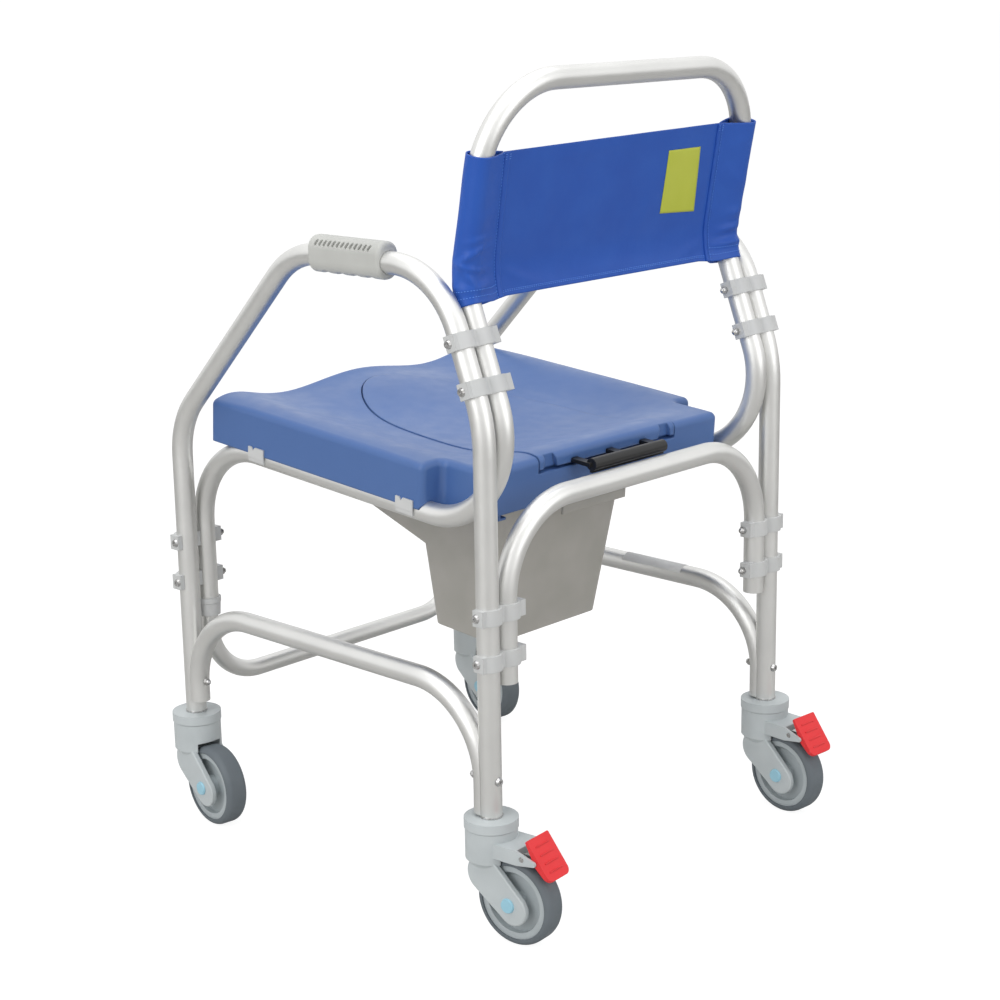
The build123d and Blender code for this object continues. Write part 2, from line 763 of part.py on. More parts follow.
# === Lid: a tongue-shaped plate with a lip behind, which has finger recesses at its corners ================
def handle_arms(clearance):
    """The handle's three flat arms, reaching forward into the lid's lip, grown by clearance."""
    arm_end_s = seat_rear_s + handle_arm_grip + clearance
    middle_n = lid_lip_n + handle_arm_thickness / 2
    with BuildPart(mode=Mode.PRIVATE) as arms:
        with BuildSketch(seat_cross_plane(arm_end_s)) as ends:
            with Locations(*[(x, middle_n) for x in (-handle_arm_x, 0, handle_arm_x)]):
                Rectangle(handle_arm_width + 2 * clearance, handle_arm_thickness + 2 * clearance)
        extrude(ends.sketch, amount=handle_bar_s - arm_end_s)
    return arms.part


seat_rim_n = max(max(heights) for heights in seat_section_n)
lid_blank = seat_solid(0, seat_skirt_n) & column(lid_outline(0))
lid_lip = slab(seat_rear_s - seat_wall, lip_front_s, lid_lip_n - lid_proud)
lid_blank = lid_blank - (lid_underside.part - lid_lip)
with BuildPart() as seat_lid:
    add(lid_blank.moved(Location(seat_normal * lid_proud)))
    with BuildSketch(seat_cross_plane(seat_rear_s)) as recesses:
        for side in sides.values():
            with BuildLine():
                Polyline(
                    (side * lid_recess_outer, sill_n),
                    (side * (lid_recess_outer - lid_recess_taper / 2), seat_rim_n),
                    (side * (lid_recess_inner + lid_recess_taper), seat_rim_n),
                    (side * lid_recess_inner, sill_n),
                    close=True,
                )
            make_face()
    extrude(recesses.sketch, amount=lid_recess_depth, mode=Mode.SUBTRACT)
    add(handle_arms(fit_clearance), mode=Mode.SUBTRACT)
seat_lid.part.label = "seat_lid"
export_step(seat_lid.part, "parts/seat_lid.step")


# === Lid handle: a round bar behind the seat with a web below and three arms into the lid ==================
with BuildPart() as lid_handle:
    with BuildSketch(seat_side_plane(-handle_half_length)) as bar:
        with Locations((handle_bar_s, handle_bar_n)):
            Circle(handle_bar_diameter / 2)
        with Locations((handle_bar_s, handle_bar_n - handle_web_depth / 2)):
            Rectangle(handle_web_thickness, handle_web_depth)
    extrude(bar.sketch, amount=-2 * handle_half_length)
    add(handle_arms(0))
lid_handle.part.label = "lid_handle"
export_step(lid_handle.part, "parts/lid_handle.step")


# === Clips: grey tabs that hook over the rail and hold the skirt ===========================================
with BuildPart() as seat_clips:
    for side in sides.values():
        for s in clip_s:
            clip_inner = tube_radius + fit_clearance
            wall_x = seat_half_width + fit_clearance - seat_frame_half_width
            hook_z = -clip_inner * sin(radians(clip_wrap_angle))
            rail_axis = Plane(
                origin=seat_centre + seat_forward * s + Vector(side * seat_frame_half_width, 0, 0),
                x_dir=(side, 0, 0),
                z_dir=seat_forward * side,
            )
            with BuildSketch(rail_axis) as clip_section:
                Circle(clip_inner + clip_thickness)
                with Locations((wall_x / 2 + clip_inner, 0)):
                    Rectangle(2 * clip_inner, 4 * clip_inner, mode=Mode.INTERSECT)
                with Locations((wall_x + clip_thickness / 2, clip_top_n / 2)):
                    Rectangle(clip_thickness, clip_top_n)
                Circle(clip_inner, mode=Mode.SUBTRACT)
                with Locations((wall_x / 2, clip_inner)):
                    Rectangle(wall_x, 2 * clip_inner, mode=Mode.SUBTRACT)
                with Locations((0, hook_z - 2 * clip_inner)):
                    Rectangle(4 * clip_inner, 4 * clip_inner, mode=Mode.SUBTRACT)
            extrude(clip_section.sketch, amount=clip_width / 2, both=True)
    with BuildSketch(seat_side_plane()) as notches:
        for s in clip_s:
            notch_s = s + clip_notch_ahead
            with BuildLine():
                Polyline(
                    (notch_s - clip_notch_width / 2, clip_top_n),
                    (notch_s + clip_notch_width / 2, clip_top_n),
                    (notch_s, clip_top_n - clip_notch_depth),
                    close=True,
                )
            make_face()
    extrude(notches.sketch, amount=2 * seat_half_width, both=True, mode=Mode.SUBTRACT)
seat_clips.part.label = "seat_clips"
export_step(seat_clips.part, "parts/seat_clips.step")


# === Bucket: tapered tub with a sloping nose, a flange that runs in the seat's runners and a pull ==========
def bucket_half_width(n):
    """Half width of the tub at height n, between its floor and its rim."""
    taper = (bucket_rim_half_width - bucket_floor_half_width) / (bucket_rim_n - bucket_floor_n)
    return bucket_floor_half_width + (n - bucket_floor_n) * taper


def bucket_volume(inset):
    """Solid of the tub with its walls and floor moved in by inset; an inset one stands above the rim."""
    top_n = bucket_rim_n + 2 * inset
    with BuildPart(mode=Mode.PRIVATE) as tub:
        with BuildSketch(seat_side_plane()) as side_view:
            with BuildLine():
                Polyline(
                    (bucket_rim_rear_s, top_n),
                    (bucket_floor_rear_s, bucket_floor_n),
                    (bucket_floor_front_s, bucket_floor_n),
                    (bucket_step_s, bucket_step_n),
                    (bucket_nose_s, bucket_nose_n),
                    (bucket_rim_front_s, top_n),
                    close=True,
                )
            make_face()
            if inset:
                offset(amount=-inset)
        extrude(side_view.sketch, amount=bucket_rim_half_width + flange_thickness, both=True)
        with BuildSketch(seat_cross_plane(0)) as rear_view:
            with BuildLine():
                Polyline(
                    (-bucket_half_width(top_n), top_n),
                    (-bucket_floor_half_width, bucket_floor_n),
                    (bucket_floor_half_width, bucket_floor_n),
                    (bucket_half_width(top_n), top_n),
                    close=True,
                )
            make_face()
            if inset:
                offset(amount=-inset)
        add(column(rear_view.sketch), mode=Mode.INTERSECT)
        uprights = tub.edges().filter_by(lambda edge: abs((edge % 0.5).dot(seat_normal)) > 0.8)
        fillet(uprights, bucket_corner_radius - inset)
    return tub.part


with BuildPart() as bucket:
    add(bucket_volume(0))
    with BuildSketch(seat_plane(n=bucket_rim_n)) as flange:
        flange_front = bucket_rim_front_s + flange_margin
        flange_rear = bucket_rim_rear_s - flange_margin
        with Locations((0, (flange_front + flange_rear) / 2)):
            Rectangle(2 * flange_half_width, flange_front - flange_rear)
        with Locations((0, (pull_rear_s + flange_rear) / 2)):
            Rectangle(2 * pull_half_width, flange_rear - pull_rear_s)
    extrude(flange.sketch, amount=-flange_thickness)
    with BuildSketch(seat_plane(n=bucket_rim_n)) as pull:
        with Locations((0, pull_rear_s + pull_thickness / 2)):
            Rectangle(2 * pull_half_width, pull_thickness)
    extrude(pull.sketch, amount=-pull_drop)
    add(bucket_volume(bucket_wall), mode=Mode.SUBTRACT)
bucket.part.label = "bucket"
export_step(bucket.part, "parts/bucket.step")


# === Backrest sling: a sheet with a sleeve round each back post ===========================================
with BuildPart() as backrest_sling:
    below_sling = sling_bottom_z - 2 * tube_diameter
    with BuildLine() as sling_path:
        FilletPolyline(
            (0, rear_rise_y(below_sling), below_sling),
            (0, *lumbar_corner),
            (0, back_top_y, back_top_z),
            radius=bend_radius,
        )
    sheet_plane = Plane(sling_path.line @ 0, x_dir=(1, 0, 0), z_dir=sling_path.line % 0)
    with BuildSketch(sheet_plane) as sheet_section:
        Rectangle(2 * seat_frame_half_width, sling_thickness)
    sweep(sections=sheet_section.sketch, path=sling_path.line)
    post_bore = tube_diameter + 2 * sling_clearance
    sweep_tube(left_run + right_run, bend_radius, post_bore + 2 * sling_thickness, 0)
    split(bisect_by=Plane.XY.offset(sling_bottom_z), keep=Keep.TOP)
    split(bisect_by=Plane.XY.offset(sling_top_z), keep=Keep.BOTTOM)
    sweep_tube(left_run + right_run, bend_radius, post_bore, 0, Mode.SUBTRACT)
backrest_sling.part.label = "backrest_sling"
export_step(backrest_sling.part, "parts/backrest_sling.step")


fork_half = fork_gap + cheek_thickness
hood_depth = hood_top_z - 2 * wheel_radius
pedal_half_width = fork_half - hood_arm_thickness - brake_side_clearance


# === Castors: each has a disc with a stem, a swivelling fork, an axle with caps, a rim and a tyre ==========
def castor_foot(name):
    """X and Y of the leg above a castor."""
    x = frame_half_width * sides[name.split("_")[1]]
    return x, rear_leg_y if name.startswith("rear") else front_leg_y


def castor_plane(name):
    """Plane of a castor's wheel: x is the way it trails, y is up and z runs along the axle."""
    heading = radians(castor_heading[name])
    return Plane(
        origin=(*castor_foot(name), 0),
        x_dir=(cos(heading), sin(heading), 0),
        z_dir=(sin(heading), -cos(heading), 0),
    )


def add_disc(name):
    """Disc under the leg, with a stem inside the tube and a kingpin below."""
    level = Plane((*castor_foot(name), disc_top_z))
    with BuildSketch(level) as plate:
        Circle(disc_diameter / 2)
    extrude(plate.sketch, amount=-disc_height)
    with BuildSketch(level) as foot_groove:
        Circle(tube_radius + fit_clearance)
    extrude(foot_groove.sketch, amount=leg_foot_z - disc_top_z, mode=Mode.SUBTRACT)
    with BuildSketch(level.offset(leg_foot_z - disc_top_z)) as stem:
        Circle(tube_radius - tube_wall - fit_clearance)
    extrude(stem.sketch, amount=stem_height)
    with BuildSketch(level.offset(-disc_height)) as kingpin:
        Circle(kingpin_diameter / 2)
    extrude(kingpin.sketch, amount=-kingpin_length)


def add_fork(name):
    """Fork: a round head with a cheek each side of the wheel, and a brake hood on a rear castor."""
    plane = castor_plane(name)
    head_top_z = disc_top_z - disc_height - swivel_gap
    head_plane = Plane((*castor_foot(name), head_top_z))
    with BuildSketch(plane) as cheek:
        with Locations(cheek_toe):
            Circle(cheek_toe_radius)
        with Locations(cheek_shoulder):
            Circle(cheek_shoulder_radius)
        make_hull()
    with BuildPart(mode=Mode.PRIVATE) as cheeks:
        extrude(cheek.sketch, amount=fork_half, both=True)
        chamfer(cheeks.faces().filter_by(Axis(plane.origin, plane.z_dir)).edges(), cheek_edge)
    with BuildSketch(head_plane) as head:
        Circle(fork_body_diameter / 2)
    body = extrude(head.sketch, amount=-fork_body_height)
    chamfer(body.edges().group_by(Axis.Z)[0], fork_body_edge)
    add(cheeks.part)
    if name.startswith("rear"):
        add_hood(plane)
    with BuildSketch(plane) as wheel_space:
        with Locations((castor_trail, wheel_radius)):
            Circle(wheel_radius + wheel_clearance)
    extrude(wheel_space.sketch, amount=fork_gap, both=True, mode=Mode.SUBTRACT)
    with BuildSketch(plane) as bores:
        with Locations((castor_trail, wheel_radius)):
            Circle(axle_diameter / 2)
    extrude(bores.sketch, amount=2 * fork_half, both=True, mode=Mode.SUBTRACT)
    with BuildSketch(head_plane) as kingpin_bore:
        Circle(kingpin_diameter / 2 + running_clearance)
    extrude(kingpin_bore.sketch, amount=-kingpin_length, mode=Mode.SUBTRACT)


def add_hood(plane):
    """Roof over the wheel with two tapering arms, which carry the brake's pin between them."""
    with BuildSketch(plane) as arms:
        with Locations(hood_arm_tip):
            Circle(hood_arm_tip_radius)
        with Locations((hood_roof_end_t / 2, hood_top_z - hood_depth / 2)):
            Rectangle(hood_roof_end_t, hood_depth)
        make_hull()
    extrude(arms.sketch, amount=fork_half, both=True)
    slot_half = fork_half - hood_arm_thickness
    with BuildSketch(plane) as lever_space:
        with Locations((hood_roof_end_t + pedal_length, hood_top_z)):
            Rectangle(2 * pedal_length, 2 * pedal_length)
    extrude(lever_space.sketch, amount=slot_half, both=True, mode=Mode.SUBTRACT)
    with BuildSketch(plane) as pin_bore:
        with Locations((brake_pivot_t, brake_pivot_z)):
            Circle(brake_pin_diameter / 2 + running_clearance)
    extrude(pin_bore.sketch, amount=2 * fork_half, both=True, mode=Mode.SUBTRACT)


def add_turned(name, profile, rounding=0.0):
    """Turn a profile of (radius, distance from the wheel's middle) round the axle."""
    plane = castor_plane(name)
    axle_centre = plane.origin + plane.x_dir * castor_trail + plane.y_dir * wheel_radius
    with BuildSketch(Plane(axle_centre, x_dir=(0, 0, 1), z_dir=plane.x_dir)) as half_section:
        with BuildLine():
            Polyline(*profile, close=True)
        make_face()
        if rounding:
            fillet(half_section.vertices().group_by(Axis.X)[-1], rounding)
    revolve(half_section.sketch, axis=Axis(axle_centre, plane.z_dir))


bore_radius = axle_diameter / 2 + running_clearance
hub_half = fork_gap - hub_clearance
rim_half = rim_width / 2
web_half = web_thickness / 2
rim_profile = [
    (bore_radius, -hub_half),
    (hub_radius, -hub_half),
    (hub_radius, -web_half),
    (rim_inner_radius, -web_half),
    (rim_inner_radius, -rim_half),
    (rim_radius, -rim_half),
    (rim_radius, rim_half),
    (rim_inner_radius, rim_half),
    (rim_inner_radius, web_half),
    (hub_radius, web_half),
    (hub_radius, hub_half),
    (bore_radius, hub_half),
]
tyre_profile = [
    (rim_radius, -tyre_width / 2),
    (wheel_radius, -tyre_width / 2),
    (wheel_radius, tyre_width / 2),
    (rim_radius, tyre_width / 2),
]

for castor in castor_heading:
    wheel_plane = castor_plane(castor)

    with BuildPart() as castor_disc:
        add_disc(castor)
    castor_disc.part.label = f"castor_disc_{castor}"
    export_step(castor_disc.part, f"parts/castor_disc_{castor}.step")

    with BuildPart() as castor_fork:
        add_fork(castor)
    castor_fork.part.label = f"castor_fork_{castor}"
    export_step(castor_fork.part, f"parts/castor_fork_{castor}.step")

    with BuildPart() as castor_axle:
        with BuildSketch(wheel_plane) as axle_section:
            with Locations((castor_trail, wheel_radius)):
                Circle(axle_diameter / 2)
        extrude(axle_section.sketch, amount=fork_half, both=True)
    castor_axle.part.label = f"castor_axle_{castor}"
    export_step(castor_axle.part, f"parts/castor_axle_{castor}.step")

    with BuildPart() as axle_caps:
        for facing in (1, -1):
            with BuildSketch(wheel_plane.offset(facing * fork_half)) as cap:
                with Locations((castor_trail, wheel_radius)):
                    Circle(cap_diameter / 2)
            extrude(cap.sketch, amount=facing * cap_height, taper=20)
    axle_caps.part.label = f"axle_caps_{castor}"
    export_step(axle_caps.part, f"parts/axle_caps_{castor}.step")

    with BuildPart() as castor_rim:
        add_turned(castor, rim_profile)
    castor_rim.part.label = f"castor_rim_{castor}"
    export_step(castor_rim.part, f"parts/castor_rim_{castor}.step")

    with BuildPart() as castor_tyre:
        add_turned(castor, tyre_profile, tyre_rounding)
    castor_tyre.part.label = f"castor_tyre_{castor}"
    export_step(castor_tyre.part, f"parts/castor_tyre_{castor}.step")

with BuildPart() as leg_ferrules:
    for castor in castor_heading:
        with BuildSketch(Plane((*castor_foot(castor), disc_top_z))) as ring:
            Circle(ferrule_diameter / 2)
            Circle(tube_radius + fit_clearance, mode=Mode.SUBTRACT)
        extrude(ring.sketch, amount=ferrule_height)
leg_ferrules.part.label = "leg_ferrules"
export_step(leg_ferrules.part, "parts/leg_ferrules.step")


# === Brakes: a ribbed pedal on a steel lever that turns on a pin in the hood ===============================
def pedal_plane(name):
    """Plane through the pedal's top edge: x down its slope, y out of its face, z along the axle."""
    plane = castor_plane(name)
    slope = radians(pedal_slope)
    edge = (
        plane.origin
        + plane.x_dir * (brake_pivot_t + pedal_ahead)
        + plane.y_dir * (brake_pivot_z + pedal_rise)
    )
    down = plane.x_dir * cos(slope) - plane.y_dir * sin(slope)
    return Plane(edge, x_dir=down, z_dir=plane.z_dir)


slope_cos = cos(radians(pedal_slope))
slope_sin = sin(radians(pedal_slope))
pivot = (pedal_rise * slope_sin - pedal_ahead * slope_cos, -(pedal_rise * slope_cos + pedal_ahead * slope_sin))
lever_y = -pedal_plate - lever_thickness / 2
for castor in ("rear_left", "rear_right"):
    slope_plane = pedal_plane(castor)

    with BuildPart() as brake_pedal:
        with BuildSketch(slope_plane) as side_view:
            with BuildLine():
                Polyline(
                    (0, 0),
                    (pedal_length, 0),
                    (pedal_length, -pedal_skirt_toe),
                    (pedal_skirt_bend, -pedal_skirt),
                    (0, -pedal_plate),
                    close=True,
                )
            make_face()
        extrude(side_view.sketch, amount=pedal_half_width, both=True)
        slope_axis = Axis(slope_plane.origin, slope_plane.x_dir)
        corners = brake_pedal.edges().filter_by(Axis(slope_plane.origin, slope_plane.y_dir)).group_by(slope_axis)
        fillet(corners[0], pedal_top_radius)
        fillet(corners[-1], pedal_corner_radius)
        face_plane = Plane(slope_plane.origin, x_dir=slope_plane.x_dir, z_dir=slope_plane.y_dir)
        with BuildSketch(face_plane.offset(-pedal_plate)) as hollow:
            with Locations((pedal_length / 2, 0)):
                Rectangle(pedal_length - 2 * pedal_plate, 2 * (pedal_half_width - pedal_plate))
            fillet(hollow.vertices().group_by(Axis.X)[-1], pedal_corner_radius - pedal_plate)
        extrude(hollow.sketch, amount=-pedal_skirt, mode=Mode.SUBTRACT)
        rib_pitch = pedal_length / (pedal_rib_count + 1)
        with BuildSketch(slope_plane) as ribs:
            for index in range(pedal_rib_count):
                with Locations(((index + 1) * rib_pitch, 0)):
                    Rectangle(pedal_rib_width, 2 * pedal_rib_height)
        extrude(ribs.sketch, amount=pedal_half_width - pedal_corner_radius, both=True)
    brake_pedal.part.label = f"brake_pedal_{castor}"
    export_step(brake_pedal.part, f"parts/brake_pedal_{castor}.step")

    with BuildPart() as brake_lever:
        lever_half = pedal_half_width - pedal_plate - fit_clearance
        strip_length = pedal_length - 2 * pedal_plate - pedal_corner_radius
        with BuildSketch(slope_plane) as strip:
            with Locations((pedal_plate + fit_clearance + strip_length / 2, lever_y)):
                Rectangle(strip_length, lever_thickness)
        extrude(strip.sketch, amount=lever_half, both=True)
        with BuildSketch(slope_plane) as neck:
            with Locations(pivot):
                Circle(brake_barrel_diameter / 2)
            with Locations((pivot[0] + brake_barrel_diameter / 2, lever_y)):
                Circle(lever_thickness / 2)
            make_hull()
        extrude(neck.sketch, amount=lever_half, both=True)
        with BuildSketch(slope_plane) as pin:
            with Locations(pivot):
                Circle(brake_pin_diameter / 2)
        extrude(pin.sketch, amount=fork_half, both=True)
    brake_lever.part.label = f"brake_lever_{castor}"
    export_step(brake_lever.part, f"parts/brake_lever_{castor}.step")
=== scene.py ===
"""Commode chair on castors: aluminium frame, moulded seat and lid, sliding bucket and fabric backrest.

Sizes are in metres. X points to the sitter's left, the chair faces -Y and stands on Z = 0.
"""

from math import cos, pi, radians, sin, tan

import bpy
from mathutils import Matrix, Vector, noise


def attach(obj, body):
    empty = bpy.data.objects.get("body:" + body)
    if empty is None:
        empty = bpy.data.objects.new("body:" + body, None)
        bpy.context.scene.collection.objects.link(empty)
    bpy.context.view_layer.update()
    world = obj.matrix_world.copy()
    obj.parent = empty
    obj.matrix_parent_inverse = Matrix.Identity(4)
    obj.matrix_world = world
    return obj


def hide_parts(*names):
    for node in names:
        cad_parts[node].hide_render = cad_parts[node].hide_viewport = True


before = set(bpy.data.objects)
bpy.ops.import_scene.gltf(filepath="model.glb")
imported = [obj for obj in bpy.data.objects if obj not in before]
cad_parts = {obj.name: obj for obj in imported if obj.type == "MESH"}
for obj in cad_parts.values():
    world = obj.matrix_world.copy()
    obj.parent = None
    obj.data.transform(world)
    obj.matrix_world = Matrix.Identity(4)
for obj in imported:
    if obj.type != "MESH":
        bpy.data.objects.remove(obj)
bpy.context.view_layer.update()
scene = bpy.context.scene

# === Studio ==================================================================================
# A white floor under large soft lamps: one overhead, which makes the seat brighter than its
# skirt, and one to each side of the lens. The lens sees most of the floor as plain white.


def shade(hex_code):
    """Linear colour of an sRGB hex code."""
    channels = [int(hex_code[i : i + 2], 16) / 255 for i in (1, 3, 5)]
    return [c / 12.92 if c < 0.04045 else ((c + 0.055) / 1.055) ** 2.4 for c in channels] + [1]


def add_node(tree, kind, inputs=(), **settings):
    """Add a node: settings are its properties, and inputs gives sockets a value or a link."""
    made = tree.nodes.new(kind)
    for name, value in settings.items():
        setattr(made, name, value)
    for socket, value in dict(inputs).items():
        if isinstance(value, bpy.types.NodeSocket):
            tree.links.new(value, made.inputs[socket])
        else:
            made.inputs[socket].default_value = value
    return made


def new_material(name):
    """An empty node material."""
    material = bpy.data.materials.new(name)
    material.use_nodes = True
    material.node_tree.nodes.clear()
    return material


floor_half = 40.0
floor_glow, floor_glow_share = 1.26, 0.72  # for the lens alone
floor_mesh = bpy.data.meshes.new("studio_floor")
floor_corners = [(x, y, 0) for x, y in ((-1, -1), (1, -1), (1, 1), (-1, 1))]
floor_mesh.from_pydata([Vector(c) * floor_half for c in floor_corners], [], [(0, 1, 2, 3)])
studio_floor = bpy.data.objects.new("studio_floor", floor_mesh)
scene.collection.objects.link(studio_floor)

painted_floor = new_material("painted_floor")
tree = painted_floor.node_tree
seen = add_node(tree, "ShaderNodeLightPath")
paint = add_node(
    tree,
    "ShaderNodeMix",
    {0: seen.outputs["Is Camera Ray"], 6: shade("#D8D7D5"), 7: shade("#FAFAFA")},
    data_type="RGBA",
)
board = add_node(tree, "ShaderNodeBsdfDiffuse", {"Color": paint.outputs[2]})
glow = add_node(tree, "ShaderNodeEmission", {"Color": shade("#FFFFFF"), "Strength": floor_glow})
share = add_node(
    tree,
    "ShaderNodeMath",
    {0: seen.outputs["Is Camera Ray"], 1: floor_glow_share},
    operation="MULTIPLY",
)
mixed = add_node(
    tree, "ShaderNodeMixShader", {0: share.outputs[0], 1: board.outputs[0], 2: glow.outputs[0]}
)
add_node(tree, "ShaderNodeOutputMaterial", {"Surface": mixed.outputs[0]})
floor_mesh.materials.append(painted_floor)

air_on_matt, air_on_gloss = 0.42, 1.05  # brightness of the air as each surface meets it
world = bpy.data.worlds.new("studio_air")
world.use_nodes = True
scene.world = world
tree = world.node_tree
tree.nodes.clear()
seen = add_node(tree, "ShaderNodeLightPath")
glossy = add_node(
    tree,
    "ShaderNodeMath",
    {0: seen.outputs["Is Camera Ray"], 1: seen.outputs["Is Glossy Ray"]},
    operation="MAXIMUM",
)
bright = add_node(
    tree,
    "ShaderNodeMath",
    {0: glossy.outputs[0], 1: seen.outputs["Is Transmission Ray"]},
    operation="MAXIMUM",
)
strength = add_node(
    tree, "ShaderNodeMapRange", {0: bright.outputs[0], 3: air_on_matt, 4: air_on_gloss}
)
air = add_node(
    tree,
    "ShaderNodeBackground",
    {"Color": shade("#FFFFFF"), "Strength": strength.outputs[0]},
)
add_node(tree, "ShaderNodeOutputWorld", {"Surface": air.outputs[0]})

lamp_target = Vector((0, 0, 0.45))
softboxes = {  # place, side and power
    "softbox_overhead": ((0.2, 0.1, 3.2), 3.0, 42),
    "softbox_left": ((3.2, 0.4, 1.9), 2.2, 38),
    "softbox_right": ((-0.6, 3.4, 1.6), 2.2, 24),
}
for name, (place, side, power) in softboxes.items():
    lamp = bpy.data.lights.new(name, "AREA")
    lamp.shape, lamp.size, lamp.energy = "SQUARE", side, power
    stand = bpy.data.objects.new(name, lamp)
    scene.collection.objects.link(stand)
    aim = lamp_target - Vector(place)
    stand.location = place
    stand.rotation_euler = aim.to_track_quat("-Z", "Y").to_euler()

lens_place = (1.7688, 1.6917, 1.0343)
lens_data = bpy.data.cameras.new("camera")
lens_data.lens, lens_data.sensor_width = 74.79, 36.0  # millimetres
camera = bpy.data.objects.new("camera", lens_data)
scene.collection.objects.link(camera)
to_right = Vector((-0.6867, 0.7268, -0.0162))
downward = Vector((0.1911, 0.1590, -0.9686))
onward = Vector((-0.7014, -0.6682, -0.2480))
axes = Matrix((to_right, -downward, -onward)).transposed()
camera.matrix_world = Matrix.Translation(lens_place) @ axes.to_4x4()
scene.camera = camera
scene.view_settings.view_transform = "Standard"

# === Tubes of the frame =======================================================================
# Round aluminium tube, 25 mm and 21.5 mm across, bent cold and then satin anodised. The etch
# before anodising leaves a silky, very fine-grained metal.


def dress(material, *names):
    """Give CAD nodes a material in every slot."""
    for name in names:
        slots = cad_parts[name].data.materials
        if not slots:
            slots.append(material)
        for index in range(len(slots)):
            slots[index] = material


def mottled(tree, size, low, high, detail=2.0):
    """Cloudy variation between two values, with patches of about the given size."""
    where = add_node(tree, "ShaderNodeTexCoord")
    cloud = add_node(
        tree, "ShaderNodeTexNoise", {"Vector": where.outputs["Object"], "Scale": 1 / size, "Detail": detail}
    )
    spread = add_node(
        tree, "ShaderNodeMapRange", {0: cloud.outputs[0], 1: 0.3, 2: 0.7, 3: low, 4: high}
    )
    return spread.outputs[0]


def blended(tree, share, first, second):
    """Colour mixed from two hex codes by a share."""
    mix = add_node(
        tree, "ShaderNodeMix", {0: share, 6: shade(first), 7: shade(second)}, data_type="RGBA"
    )
    return mix.outputs[2]


def rounded_edges(tree, radius, grain_size, grain_depth):
    """Surface direction with edges eased to a radius and a fine moulded or etched grain."""
    where = add_node(tree, "ShaderNodeTexCoord")
    eased = add_node(tree, "ShaderNodeBevel", {"Radius": radius}, samples=6)
    grain = add_node(
        tree,
        "ShaderNodeTexNoise",
        {"Vector": where.outputs["Object"], "Scale": 1 / grain_size, "Detail": 3.0},
    )
    bump = add_node(
        tree,
        "ShaderNodeBump",
        {"Height": grain.outputs[0], "Distance": grain_depth, "Strength": 0.6, "Normal": eased.outputs[0]},
    )
    return bump.outputs[0]


# satin anodised aluminium: grey-white, with a broad soft highlight
anodised_aluminium = new_material("satin_anodised_aluminium")
tree = anodised_aluminium.node_tree
metal = add_node(
    tree,
    "ShaderNodeBsdfPrincipled",
    {
        "Base Color": blended(tree, mottled(tree, 0.06, 0, 1), "#D9D9D7", "#DEDEDC"),
        "Metallic": 1.0,
        "Roughness": mottled(tree, 0.012, 0.40, 0.46, 4.0),
        "Normal": rounded_edges(tree, 0.0004, 0.0012, 0.00004),  # real etch is 0.05 mm, drawn at 1.2 mm
    },
)
add_node(tree, "ShaderNodeOutputMaterial", {"Surface": metal.outputs[0]})
dress(
    anodised_aluminium,
    "side_frame_left",
    "side_frame_right",
    "seat_back_frame",
    "rear_cross_tube",
    "lower_rail_left",
    "lower_rail_right",
    "front_u_tube",
)

# === Tube ferrules, screws, nuts and axles ====================================================
# Turned and cold-headed steel, all bright: stainless screws and domed nuts through drilled tubes
# and brackets, zinc-plated axles and brake levers, and chrome-plated ferrules round the legs' feet.
bright_steel = new_material("bright_steel")
tree = bright_steel.node_tree
metal = add_node(
    tree,
    "ShaderNodeBsdfPrincipled",
    {
        "Base Color": blended(tree, mottled(tree, 0.004, 0, 1), "#A9A8A5", "#C8C8C9"),
        "Metallic": 1.0,
        "Roughness": mottled(tree, 0.003, 0.18, 0.34),
        "Normal": rounded_edges(tree, 0.0003, 0.0008, 0.00002),
    },
)
add_node(tree, "ShaderNodeOutputMaterial", {"Surface": metal.outputs[0]})
castors = ("rear_left", "rear_right", "front_left", "front_right")
dress(
    bright_steel,
    "bracket_bolts",
    "bracket_nuts",
    "rail_bolts",
    "rail_nuts",
    "leg_ferrules",
    *(f"castor_axle_{castor}" for castor in castors),
    "brake_lever_rear_left",
    "brake_lever_rear_right",
)

# === Brackets, collars, clips and arm grips ===================================================
# Light grey nylon, injection moulded. The brackets clasp both tubes, the collars close
#  the front posts, the clips hook the seat to its rails, and the grips sit on the armrests; the grips get a
#  darker copy of the nylon as painted shade.


def moulded_plastic(name, dark, light, roughness, edge, grain_size, grain_depth):
    """Injection-moulded plastic: faint clouds of colour, uneven gloss, eased edges, fine grain."""
    material = new_material(name)
    tree = material.node_tree
    body = add_node(
        tree,
        "ShaderNodeBsdfPrincipled",
        {
            "Base Color": blended(tree, mottled(tree, 0.05, 0, 1), dark, light),
            "Roughness": mottled(tree, 0.02, roughness - 0.05, roughness + 0.05, 4.0),
            "IOR": 1.49,
            "Normal": rounded_edges(tree, edge, grain_size, grain_depth),
        },
    )
    add_node(tree, "ShaderNodeOutputMaterial", {"Surface": body.outputs[0]})
    return material


grey_nylon = moulded_plastic(
    "grey_moulded_nylon", "#D2D4D4", "#DADBDB", 0.45, 0.0012, 0.0015, 0.00006
)
dress(
    grey_nylon,
    "brackets_upper",
    "brackets_lower",
    "brackets_front",
    "tube_collars",
    "seat_clips",
)
# the grips' nylon is the bracket nylon painted darker and warmer: painted shade, not a different plastic
shaded_grip_nylon = moulded_plastic(
    "grip_nylon_with_painted_shade", "#C4C5C1", "#CCCDC9", 0.48, 0.0020, 0.0015, 0.00008
)
dress(shaded_grip_nylon, "arm_grip_left", "arm_grip_right")

# === Seat and lid =============================================================================
# Blue polypropylene with a fine grain, moulded in one shot each. The lid lies in its bed and
# stands 1 mm above the seat, and the grain scatters the light into a soft sheen.
blue_polypropylene = moulded_plastic(
    "blue_moulded_polypropylene", "#4F72AE", "#5174B0", 0.38, 0.003, 0.0016, 0.00004
)
dress(blue_polypropylene, "seat_shell", "seat_lid")

